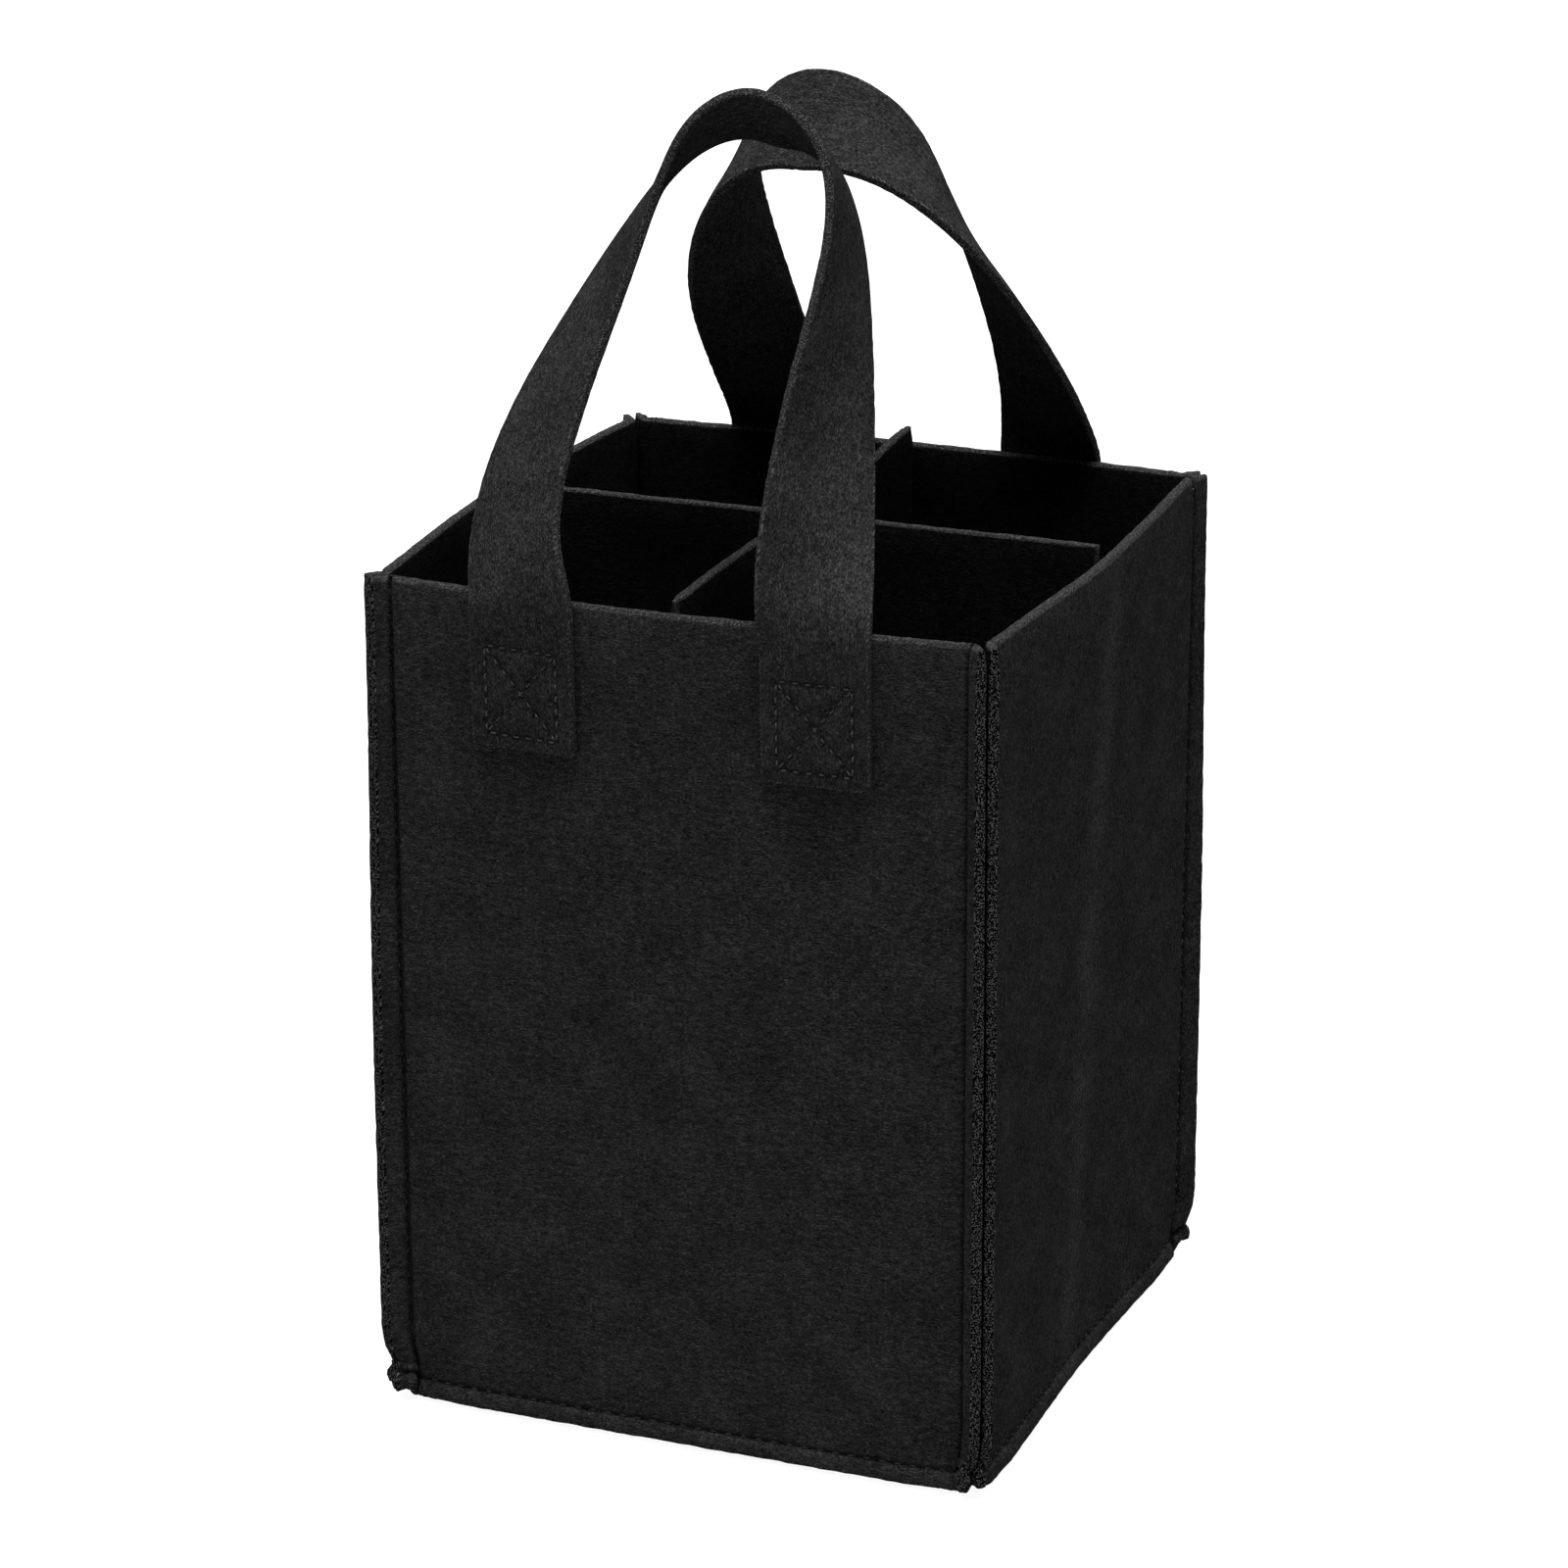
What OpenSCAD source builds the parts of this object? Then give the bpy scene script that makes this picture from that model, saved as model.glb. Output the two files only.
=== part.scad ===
// Square felt carrier bag with four cells: sewn walls and base, a lift-out
// cross divider and two strap handles that swing at the rim.
// Units: mm.  Origin: centre of the footprint on the floor.  +Z up, front faces -Y.

/* [Bag] */
// side of the square bag, over its wall faces
bag_side = 180; // [150:1:220]
// height of the open rim above the floor
rim_height = 247; // [200:1:310]
// thickness of the felt, the same for every panel and strap
felt = 4; // [3:0.25:6]
// felt left outside the corner seams, from the inner corner to the raw edge
seam_reach = 8; // [6:0.5:12]
// felt left below the base seams, from the inner corner to the raw edge
foot_reach = 6; // [4:0.5:10]
// lean of that margin out of the vertical, in degrees
foot_turn = 15; // [10:1:45]
// depth by which the floor flattens the lowest raw edges
foot_cut = 0.5; // [0.3:0.1:1]

/* [Divider] */
// height of the divider above the rim
divider_proud = 3; // [0:0.5:8]
// gap between each divider end and the wall it meets
divider_gap = 0.5; // [0.3:0.1:2]
// gap on each side of the cross slots
slot_gap = 0.15; // [0.1:0.05:0.5]
// gap under the divider where it stands on the base
stand_gap = 0.2; // [0.1:0.05:0.5]

/* [Handles] */
// width of the strap
strap_width = 31; // [24:0.5:40]
// distance between the middles of a handle's two ends
handle_spacing = 85; // [65:1:110]
// length of strap sewn to the wall below the rim
sewn_length = 43; // [34:1:60]
// rise of the front handle's middle above the rim
front_rise = 120; // [90:1:150]
// rise of the back handle's middle above the rim
back_rise = 104; // [90:1:150]
// how far each handle leans in over the bag
handle_lean = 56; // [40:1:70]
// sideways shift of the top of each handle, in opposite directions
handle_sway = 6; // [0:1:12]
// turn of the strap about its own length, from sewn end to top, in degrees
handle_turn = 136; // [110:1:150]
// angle the handles can still swing inwards, in degrees
swing_in = 12; // [0:1:14]
// clearance left between a handle and its sewn ends at that angle
swing_gap = 0.4; // [0.3:0.1:1]

/* [Stitching] */
// thickness of the sewing thread
thread = 0.8; // [0.5:0.1:1.5]
// width of the crossed stitch box
box_width = 21.5; // [16:0.5:28]
// height of the crossed stitch box
box_height = 25; // [18:0.5:34]
// strap left below the stitch box
box_margin = 4; // [3:0.5:8]

/* [Hidden] */

half = bag_side / 2;                       // outer wall face
inner = half - felt;                       // inner wall face
r2 = sqrt(2);
foot_y = foot_reach * sin(foot_turn);      // base margin along Y and Z, and the felt's thickness there
foot_z = foot_reach * cos(foot_turn);
foot_in = felt * cos(foot_turn);
foot_up = felt * sin(foot_turn);
foot_groove = felt * tan(foot_turn / 2);   // base seam to where the wall's outer face turns
base_top = foot_z + foot_up - foot_cut;
groove = felt * (r2 - 1);                  // corner seam to where the outer faces part
fin_end = seam_reach / r2;                 // seam allowance along each axis
side = felt / r2;                          // felt thickness along each axis at 45 degrees
divider_top = rim_height + divider_proud;
divider_end = inner - divider_gap;
divider_foot = base_top + stand_gap;
slot_half = felt / 2 + slot_gap;
lap = (divider_foot + divider_top) / 2;    // where the two divider panels interlock
strap_face = half + felt;                  // outer face of a sewn strap end
strap_foot = rim_height - sewn_length;
loop_foot = rim_height + felt * tan(swing_in) + swing_gap;
foot_x = handle_spacing / 2;
box_foot = strap_foot + box_margin;
steps = 18;                                // stations on each half of a handle
far = bag_side;

felt_tone = [0.13, 0.13, 0.14];
wall_tone = [0.16, 0.16, 0.17];
strap_tone = [0.2, 0.2, 0.21];
thread_tone = [0.4, 0.4, 0.42];

// The quarter of space that belongs to the front wall, out to both diagonals.
module front_quarter() {
    translate([0, 0, -felt]) linear_extrude(rim_height + 2 * felt)
        polygon([[0, 0], [-far, -far], [far, -far]]);
}

// Wall section in Y (first) and Z (second): wall plate and the margin turned out at its foot.
module wall_section() {
    polygon([[-inner, rim_height], [-half, rim_height],
             [-half, base_top + foot_groove],
             [-inner - foot_y - foot_in, base_top - foot_z + foot_up],
             [-inner - foot_y, base_top - foot_z],
             [-inner, base_top]]);
}

// Plan of one wall's corner margin, on the right-hand corner of the front wall.
module fin_plan() {
    polygon([[inner, -inner], [inner + fin_end, -inner - fin_end],
             [inner + fin_end - side, -inner - fin_end - side],
             [inner - side + groove / r2, -half], [inner - felt, -half],
             [inner - felt, -inner]]);
}

module along_x(length) {
    rotate([90, 0, 90]) translate([0, 0, -length / 2]) linear_extrude(length) children();
}

module wall() {
    union() {
        intersection() {
            along_x(2 * far) wall_section();
            front_quarter();
        }
        fin_foot = base_top + foot_groove;
        for (m = [0, 1]) mirror([m, 0, 0])
            translate([0, 0, fin_foot]) linear_extrude(rim_height - fin_foot) fin_plan();
    }
}

// Base section: plate and the margin turned down inside the wall's margin.
module base_section() {
    intersection() {
        polygon([[0, base_top], [-inner, base_top],
                 [-inner - foot_y, base_top - foot_z],
                 [-inner - foot_y + foot_in, base_top - foot_z - foot_up],
                 [-inner + felt * tan(45 - foot_turn / 2), base_top - felt],
                 [0, base_top - felt]]);
        translate([-far, 0]) square([2 * far, base_top]);
    }
}

module base() {
    union() for (a = [0, 90, 180, 270]) rotate([0, 0, a]) intersection() {
        along_x(2 * far) base_section();
        front_quarter();
    }
}

// One divider panel along X, slotted from below or from above.
module divider_panel(from_below) {
    slot_low = from_below ? divider_foot - felt : lap - slot_gap;
    slot_high = from_below ? lap + slot_gap : divider_top + felt;
    rotate([90, 0, 0]) translate([0, 0, -felt / 2]) linear_extrude(felt) difference() {
        translate([-divider_end, divider_foot])
            square([2 * divider_end, divider_top - divider_foot]);
        translate([-slot_half, slot_low]) square([2 * slot_half, slot_high - slot_low]);
    }
}

module strap_end() {
    translate([-strap_width / 2, -strap_face, strap_foot])
        cube([strap_width, felt, sewn_length]);
}

// Crossed box of stitches, raised from the strap's face.
module box_stitch() {
    h = thread / 2;
    turn = atan2(box_height - thread, box_width - thread);
    diagonal = norm([box_height - thread, box_width - thread]);
    translate([0, -strap_face, box_foot + box_height / 2]) rotate([90, 0, 0])
        linear_extrude(h) {
            difference() {
                square([box_width, box_height], center = true);
                square([box_width - 2 * thread, box_height - 2 * thread], center = true);
            }
            for (a = [turn, -turn]) rotate(a) square([diagonal, thread], center = true);
        }
}

// Row of stitches up both faces of the front right corner margin.
module seam_stitch() {
    at = groove + thread / 2;
    h = thread / 2;
    low = base_top + 2 * side;
    for (m = [0, 1]) translate([0, 0, low]) linear_extrude(rim_height - felt - low)
        mirror([m, m, 0]) translate([inner, -inner]) rotate(-45)
            translate([at, -felt - h]) square([thread, h]);
}

// Row of stitches along the margin at the foot of the front wall.
module base_stitch() {
    at = foot_groove + thread / 2;
    h = thread / 2;
    along_x(2 * (inner - felt)) translate([-inner, base_top]) rotate(270 - foot_turn)
        translate([at, -felt - h]) square([thread, h]);
}

// Handle centre line: u runs from 0 at a sewn end to 1 at the top, s is -1 left, 1 right.
function arch_x(u, s) = s * foot_x * pow(max(0, 1 - pow(u, 3.2)), 0.9) + handle_sway * u * u;
function arch_y(u) = -(half + felt / 2) + handle_lean * pow(sin(90 * u), 1.25);
function arch_z(u, rise) =
    loop_foot + (rim_height + rise - loop_foot) * (1.13 * u - 0.13 * pow(u, 8));
function arch(u, s, rise) = [arch_x(u, s), arch_y(u), arch_z(u, rise)];
function strap_turn(u) = handle_turn * (u - 0.08 * pow(sin(180 * u), 2));
function unit(v) = v / norm(v);
function share(i) = 1 - pow(1 - i / steps, 1.5);

// Four corners of the strap at station k of 0 .. 2*steps.
function station(k, rise) =
    let (left = k <= steps,
         i = left ? k : 2 * steps - k,
         s = left ? -1 : 1,
         u = share(i),
         c = arch(u, s, rise),
         e = 0.004,
         ahead = k == steps ? arch(1 - e, 1, rise) : arch(min(1, u + e), s, rise),
         behind = k == steps ? arch(1 - e, -1, rise) : arch(max(0, u - e), s, rise),
         t = unit((k == steps || left ? 1 : -1) * (ahead - behind)),
         out = unit([0, -1, 0] - (t * [0, -1, 0]) * t),
         in = -cross(out, t),
         a = strap_turn(u),
         ends = i == 0,
         w = ends ? [-s, 0, 0] : cos(a) * in + sin(a) * out,
         n = ends ? [0, -1, 0] : cross(w, t))
    [c - w * strap_width / 2 - n * felt / 2, c + w * strap_width / 2 - n * felt / 2,
     c + w * strap_width / 2 + n * felt / 2, c - w * strap_width / 2 + n * felt / 2];

module handle_loop(rise) {
    last = 2 * steps;
    points = [for (k = [0:last]) each station(k, rise)];
    skin = [for (k = [0:last - 1], j = [0:3])
        let (a = 4 * k + j, b = 4 * k + (j + 1) % 4, c = b + 4, d = a + 4)
        each [[a, c, b], [a, d, c]]];
    polyhedron(points, concat([[0, 1, 2], [0, 2, 3]], skin,
        [[4 * last, 4 * last + 2, 4 * last + 1], [4 * last, 4 * last + 3, 4 * last + 2]]));
}

module at_back() mirror([0, 1, 0]) children();
module turned(a) rotate([0, 0, a]) children();

module front_panel() color(wall_tone) wall();
module back_panel() color(wall_tone) turned(180) wall();
module left_panel() color(wall_tone) turned(270) wall();
module right_panel() color(wall_tone) turned(90) wall();
module base_panel() color(felt_tone) base();
module divider_wide() color(felt_tone) divider_panel(true);
module divider_deep() color(felt_tone) turned(90) divider_panel(false);
module front_handle_loop() color(strap_tone) handle_loop(front_rise);
module back_handle_loop() color(strap_tone) turned(180) handle_loop(back_rise);
module front_left_strap_end() color(strap_tone) translate([-foot_x, 0, 0]) strap_end();
module front_right_strap_end() color(strap_tone) translate([foot_x, 0, 0]) strap_end();
module back_left_strap_end() color(strap_tone) at_back() translate([-foot_x, 0, 0]) strap_end();
module back_right_strap_end() color(strap_tone) at_back() translate([foot_x, 0, 0]) strap_end();
module front_left_box_stitch() color(thread_tone) translate([-foot_x, 0, 0]) box_stitch();
module front_right_box_stitch() color(thread_tone) translate([foot_x, 0, 0]) box_stitch();
module back_left_box_stitch() color(thread_tone) at_back() translate([-foot_x, 0, 0]) box_stitch();
module back_right_box_stitch() color(thread_tone) at_back() translate([foot_x, 0, 0]) box_stitch();
module front_right_seam_stitch() color(thread_tone) seam_stitch();
module back_right_seam_stitch() color(thread_tone) turned(90) seam_stitch();
module back_left_seam_stitch() color(thread_tone) turned(180) seam_stitch();
module front_left_seam_stitch() color(thread_tone) turned(270) seam_stitch();
module front_base_stitch() color(thread_tone) base_stitch();
module right_base_stitch() color(thread_tone) turned(90) base_stitch();
module back_base_stitch() color(thread_tone) turned(180) base_stitch();
module left_base_stitch() color(thread_tone) turned(270) base_stitch();

front_panel();
back_panel();
left_panel();
right_panel();
base_panel();
divider_wide();
divider_deep();
front_handle_loop();
back_handle_loop();
front_left_strap_end();
front_right_strap_end();
back_left_strap_end();
back_right_strap_end();
front_left_box_stitch();
front_right_box_stitch();
back_left_box_stitch();
back_right_box_stitch();
front_left_seam_stitch();
front_right_seam_stitch();
back_left_seam_stitch();
back_right_seam_stitch();
front_base_stitch();
back_base_stitch();
left_base_stitch();
right_base_stitch();
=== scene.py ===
"""Square felt carrier bag with four cells: sewn walls and base, a lift-out cross divider, two strap handles.

Every felt piece is one closed sheet, bent by a formula for its middle surface.  All lengths are in metres.
"""

import math

import bpy
import numpy as np
from mathutils import Matrix, Vector


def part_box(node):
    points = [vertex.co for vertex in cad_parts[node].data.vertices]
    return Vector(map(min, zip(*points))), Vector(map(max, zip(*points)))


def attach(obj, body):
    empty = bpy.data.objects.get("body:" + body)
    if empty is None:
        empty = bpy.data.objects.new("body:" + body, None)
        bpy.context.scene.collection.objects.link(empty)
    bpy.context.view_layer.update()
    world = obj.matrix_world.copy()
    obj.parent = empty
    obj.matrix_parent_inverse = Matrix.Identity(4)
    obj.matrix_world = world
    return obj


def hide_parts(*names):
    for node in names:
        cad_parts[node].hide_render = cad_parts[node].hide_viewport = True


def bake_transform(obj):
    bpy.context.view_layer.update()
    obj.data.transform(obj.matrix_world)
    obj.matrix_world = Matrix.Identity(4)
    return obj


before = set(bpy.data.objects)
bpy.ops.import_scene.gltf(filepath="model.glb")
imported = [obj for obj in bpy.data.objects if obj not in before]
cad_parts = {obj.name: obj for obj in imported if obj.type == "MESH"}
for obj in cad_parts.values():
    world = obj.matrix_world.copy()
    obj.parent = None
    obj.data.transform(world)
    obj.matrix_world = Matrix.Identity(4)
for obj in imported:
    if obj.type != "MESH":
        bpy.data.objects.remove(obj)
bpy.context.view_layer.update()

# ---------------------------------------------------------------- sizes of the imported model

wide_low, wide_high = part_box("divider_wide")
end_low, end_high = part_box("front_right_strap_end")
box_low, box_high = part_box("front_right_box_stitch")

FELT = wide_high.y - wide_low.y          # thickness of every panel and strap
HALF = -end_high.y                       # outer face of a wall
INNER = HALF - FELT                      # inner face of a wall
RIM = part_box("front_panel")[1].z         # height of the open rim
BASE_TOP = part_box("base_panel")[1].z     # top of the base, where the wall seams lie
STRAP_WIDTH = end_high.x - end_low.x
STRAP_FOOT = end_low.z                   # lower end of a sewn strap
FOOT_X = (end_low.x + end_high.x) / 2    # middle of a sewn strap
BOX_WIDTH = box_high.x - box_low.x
BOX_HEIGHT = box_high.z - box_low.z
BOX_MARGIN = box_low.z - STRAP_FOOT
DIVIDER_FOOT = wide_low.z
DIVIDER_TOP = wide_high.z
DIVIDER_END = wide_high.x

# ---------------------------------------------------------------- sizes of the looks

MID = HALF - FELT / 2                    # middle surface of a wall
ROUND = 0.0007                           # rounding of a cut edge
FUZZ = 0.00014                           # roughness of a cut edge
SEAM_GAP = 0.0002                        # felt drawn back from each seam plane

CORNER_TURN = math.radians(45)           # turn of the margins at a corner seam
CORNER_BEND = 0.00215                    # radius of the middle surface there
CORNER_MARGIN = 0.0072                   # felt beyond the bend
FOOT_TURN = math.radians(15)             # the same for a wall under the base seam
FOOT_BEND = 0.0040
FOOT_MARGIN = 0.0057
BASE_TURN = math.radians(75)             # and for the base, whose margins lie against the walls' ones
BASE_BEND = 0.0024
BASE_MARGIN = 0.0044
EAR_TURN = math.radians(16)              # how far the free ends of the corner margins turn to front or back
EAR_TOP = 0.0100                         # height at which those free ends begin
# Margins of the front right corner, which lean towards the front: the wall, which end of it, change of turn.
END_TURN = {("front", 1): math.radians(9), ("right", -1): math.radians(-9)}

PINCH = 0.0006                           # how far each face is pressed in at a cut edge
PINCH_REACH = 0.003                      # how far in from the edge that shows
ARCH_PINCH = 0.0003                      # how far each face of a handle's arch is pressed in
FIN_GAP = 0.00035                        # half the opening between two corner margins at their edges
CORNER_GROOVE = 0.0021                   # depth to which a corner seam draws a wall in
FOOT_GROOVE = 0.0010                     # the same for the base seam
FOOT_BAND = 0.0004                       # how far the band under the base seam swells out
DRAWN_IN = 0.0011                        # how far the base seam draws in the corners
WALL_WAVE = 0.00045                      # unevenness of a wall
DIVIDER_WAVE = 0.0009                    # and of a divider panel
SLOT_GAP = 0.00015                       # play on each side of the other panel in a divider's slot
LAP_GAP = 0.0002                         # play at the end of that slot

THREAD = 0.00062                         # thickness of the sewing thread
GROOVE = 0.0009                          # depth of the line that a row of stitches draws in
INNER_GROOVE = 0.0004                    # the same on the inner face of a wall
STITCH = 0.0038                          # length of a stitch and its gap
BASE_STITCH = 0.0046                     # the same in the base seam
STITCH_SHARE = 0.46                      # share of that length in which the thread shows
STITCH_STRAY = 0.0001                    # how far a stitch strays from its row
CORNER_SUNK = 0.0012                     # how deep a corner seam's stitches lie in the felt
BASE_SUNK = 0.0011                       # the same for the base seam
FRONT_BASE_SUNK = 0.0008                 # and for its front side
BOX_SUNK = 0.0010                        # and for a stitch box on the inner face of a wall

SIDES = {"front": 0, "right": 90, "back": 180, "left": 270}    # turn of each wall, in degrees

# For each wall, in its own frame: where it swells, by how much at the rim, how much of that is left at
# the base, and how soft the ridge is.
SWELLS = {
    "front": (-0.010, 0.0050, 0.0, 0.12),
    "right": (0.002, 0.0042, -0.70, 0.20),
    "back": (0.0, 0.0030, 0.0, 0.20),
    "left": (0.0, 0.0065, 0.0, 0.25),
}


# ---------------------------------------------------------------- shapes

def smooth_step(x):
    """From 0 at 0 to 1 at 1, level at both ends."""
    x = np.clip(x, 0, 1)
    return x * x * (3 - 2 * x)


def ripple(a, b, size, seed):
    """Soft random waves over two coordinates, mostly from -1 to 1, about size long."""
    rng = np.random.RandomState(seed)
    total = 0
    waves, usual_sum = 7, 4
    for _ in range(waves):
        angle, phase, pace = rng.uniform(0, math.tau), rng.uniform(0, math.tau), rng.uniform(0.6, 1.5)
        across = a * math.cos(angle) + b * math.sin(angle)
        total = total + np.sin(across * math.tau * pace / size + phase)
    return total / usual_sum


def turned(points, degrees):
    """The points, turned about the upright axis in place."""
    c, s = math.cos(math.radians(degrees)), math.sin(math.radians(degrees))
    x, y = points[..., 0].copy(), points[..., 1].copy()
    points[..., 0], points[..., 1] = c * x - s * y, s * x + c * y
    return points


def swell(side, x, z):
    """How far a wall stands out of its plane at x along it and at height z."""
    at, amount, left_at_base, softness = SWELLS[side]
    share = np.minimum(np.abs(x - at) / np.where(x < at, MID + at, MID - at), 1)
    tent = 1 - (np.hypot(share, softness) - softness) / (math.hypot(1, softness) - softness)
    up = np.clip((z - BASE_TOP) / (RIM - BASE_TOP), 0, 1.2)
    out = amount * tent * (left_at_base + (1 - left_at_base) * up ** 1.5)
    waves = WALL_WAVE * ripple(x, z, 0.07, SIDES[side] + 3)
    return out + waves * smooth_step((MID - np.abs(x)) / 0.02) * smooth_step(up * 8)


def fold(s, corner, turn, radius):
    """Distance along and distance out, for felt that lies straight and then turns at corner."""
    start = corner - radius * np.tan(turn / 2)
    bent = np.clip(s - start, 0, radius * turn)
    rest = np.clip(s - start - radius * turn, 0, None)
    angle = bent / radius
    along = np.minimum(s, start) + radius * np.sin(angle) + rest * np.cos(turn)
    return along, radius * (1 - np.cos(angle)) + rest * np.sin(turn)


def folded_length(corner, margin, turn, radius):
    """Flat length from the middle of a sheet to the edge of its folded margin."""
    return corner + margin + radius * turn - 2 * radius * math.tan(turn / 2)


def corner_of(turn):
    """Where the middle surface of a wall bends, so that two walls' margins meet with a small gap."""
    return INNER - SEAM_GAP - (FELT / 2 + SEAM_GAP) * np.tan(turn / 2)


def drawn_in(u, z):
    """How far the base seam draws the corners in, above and below it."""
    reach, top, soft = 0.024, 0.022, 0.013
    return DRAWN_IN * smooth_step((np.abs(u) - CORNER + reach) / reach) * smooth_step((top - z) / soft)


CORNER = float(corner_of(CORNER_TURN))
SEAM_DROP = RIM - BASE_TOP - FELT / 2 * math.tan(FOOT_TURN / 2)
BASE_CORNER = INNER - SEAM_GAP - FELT / 2 * math.tan(BASE_TURN / 2)
WALL_HALF_WIDTH = folded_length(CORNER, CORNER_MARGIN, CORNER_TURN, CORNER_BEND)
WALL_HEIGHT = folded_length(SEAM_DROP, FOOT_MARGIN, FOOT_TURN, FOOT_BEND)
BASE_HALF_WIDTH = folded_length(BASE_CORNER, BASE_MARGIN, BASE_TURN, BASE_BEND)


def wall_middle(side):
    """Middle surface of a wall: u from its middle to the right, v down from the rim."""
    way = 1 if side in ("front", "back") else -1

    def middle(u, v):
        height = RIM - v
        loose = smooth_step((EAR_TOP - height) / 0.0025)
        lean = np.where(u > 0, END_TURN.get((side, 1), 0), END_TURN.get((side, -1), 0))
        turn = CORNER_TURN + lean + way * EAR_TURN * loose
        along, fin = fold(np.abs(u), corner_of(turn), turn, CORNER_BEND)
        down, flange = fold(v, SEAM_DROP, FOOT_TURN, FOOT_BEND)
        z = RIM - down
        beyond = np.maximum(np.abs(u) - CORNER, 0)
        ear = smooth_step(beyond / 0.002)
        # The margins stand out less where the base seam gathers them and towards the rim, and more at
        # their free ends.
        gathered, loose_reach, near_rim = 0.20, 0.24, 0.20
        keep = 1 - gathered * smooth_step((0.016 - height) / 0.007) + loose_reach * loose
        keep = keep - near_rim * smooth_step((height - 0.10) / 0.13)
        inward = drawn_in(u, height)
        x = np.sign(u) * (along - np.maximum(along - CORNER, 0) * (1 - keep) - inward)
        out = fin * keep - inward + flange * (1 - 0.5 * ear) + swell(side, x, z)
        # The free ends are crumpled: a fold across each, soft waves, and a corner that turns up.
        crease = np.exp(-(((beyond - 0.0036) / 0.0008) ** 2))
        out = out + ear * loose * (0.0004 * ripple(u, v, 0.006, SIDES[side] + 5) - 0.0009 * crease)
        rise = 0.0020 + 0.0016 * smooth_step(beyond / 0.007) + 0.0005 * ripple(u, v, 0.009, SIDES[side] + 6)
        z = z + ear * loose * rise
        return turned(np.stack([x, -(MID + out), z], -1), SIDES[side])
    return middle


def base_middle(u, v):
    """Middle surface of the base: a plate whose four margins turn down."""
    x, drop_x = fold(np.abs(u), BASE_CORNER, BASE_TURN, BASE_BEND)
    y, drop_y = fold(np.abs(v), BASE_CORNER, BASE_TURN, BASE_BEND)
    drop = np.maximum(drop_x, drop_y) + 0.15 * np.minimum(drop_x, drop_y)    # a little deeper at the corners
    x_out = np.where(u > 0, swell("right", v, 0 * v + BASE_TOP), swell("left", v, 0 * v + BASE_TOP))
    y_out = np.where(v > 0, swell("back", u, 0 * u + BASE_TOP), swell("front", u, 0 * u + BASE_TOP))
    x = x + (x_out - drawn_in(v, BASE_TOP)) * smooth_step((np.abs(u) - 0.05) / 0.03)
    y = y + (y_out - drawn_in(u, BASE_TOP)) * smooth_step((np.abs(v) - 0.05) / 0.03)
    z = np.maximum(BASE_TOP - FELT / 2 - SEAM_GAP - drop, 0.0005)
    return np.stack([np.sign(u) * x, np.sign(v) * y, z], -1)


def divider_middle(degrees, sides, lift):
    """Middle surface of a divider panel: u along it, v down from its top; one end sits up by lift."""
    def middle(u, v):
        z = DIVIDER_TOP - v + lift * smooth_step((u - 0.045) / 0.035)
        reach = np.where(u < 0, swell(sides[0], 0 * u, z), swell(sides[1], 0 * u, z))
        x = u * (1 + 0.9 * reach / DIVIDER_END * smooth_step((np.abs(u) - 0.03) / 0.05))
        wave = DIVIDER_WAVE * ripple(u, v, 0.11, degrees + 21) * smooth_step(np.abs(u) / 0.03)
        return turned(np.stack([x, wave, z], -1), degrees)
    return middle


# A handle: how high its middle rises, how far it leans in, its sideways sway, the strap's turn at the top,
# and for its left and right legs the bow out of the plain arch and the twist, in metres and degrees.  The
# two tables after it say how bow and twist are spread over a leg, from 0 at the rim to 1 at the top.
HANDLES = {
    "front": dict(rise=0.1240, lean=0.054, sway=0.0054, turn=131, bow=(-0.0062, -0.0080), twist=(-22, 14)),
    "back": dict(rise=0.1078, lean=0.057, sway=0.0097, turn=145, bow=(-0.0016, 0.0000), twist=(-24, -15)),
}
LEG_BOW = {
    "front": (lambda u: np.sin(math.tau * u ** 0.87) * (1 - 0.45 * u),
              lambda u: np.sin(math.pi * u) * (1 - u ** 3)),
    "back": (lambda u: np.sin(math.tau * u) * (1 - 0.45 * u),
             lambda u: np.sin(math.pi * u ** 1.5)),
}
LEG_TWIST = {
    "front": (lambda u: np.sin(math.pi * u ** 2.2), lambda u: np.sin(math.pi * u ** 0.5)),
    "back": (lambda u: np.sin(math.pi * u ** 1.7), lambda u: np.sin(math.pi * u)),
}


LEG_POINTS, SEWN_POINTS, STRAP_POINTS = 160, 60, 600
SMOOTHING = 21                           # points over which a strap's line is smoothed


def length_along(points):
    """Length of a line from its start to each of its points."""
    return np.concatenate([[0], np.cumsum(np.linalg.norm(np.diff(points, axis=0), axis=1))])


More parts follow.
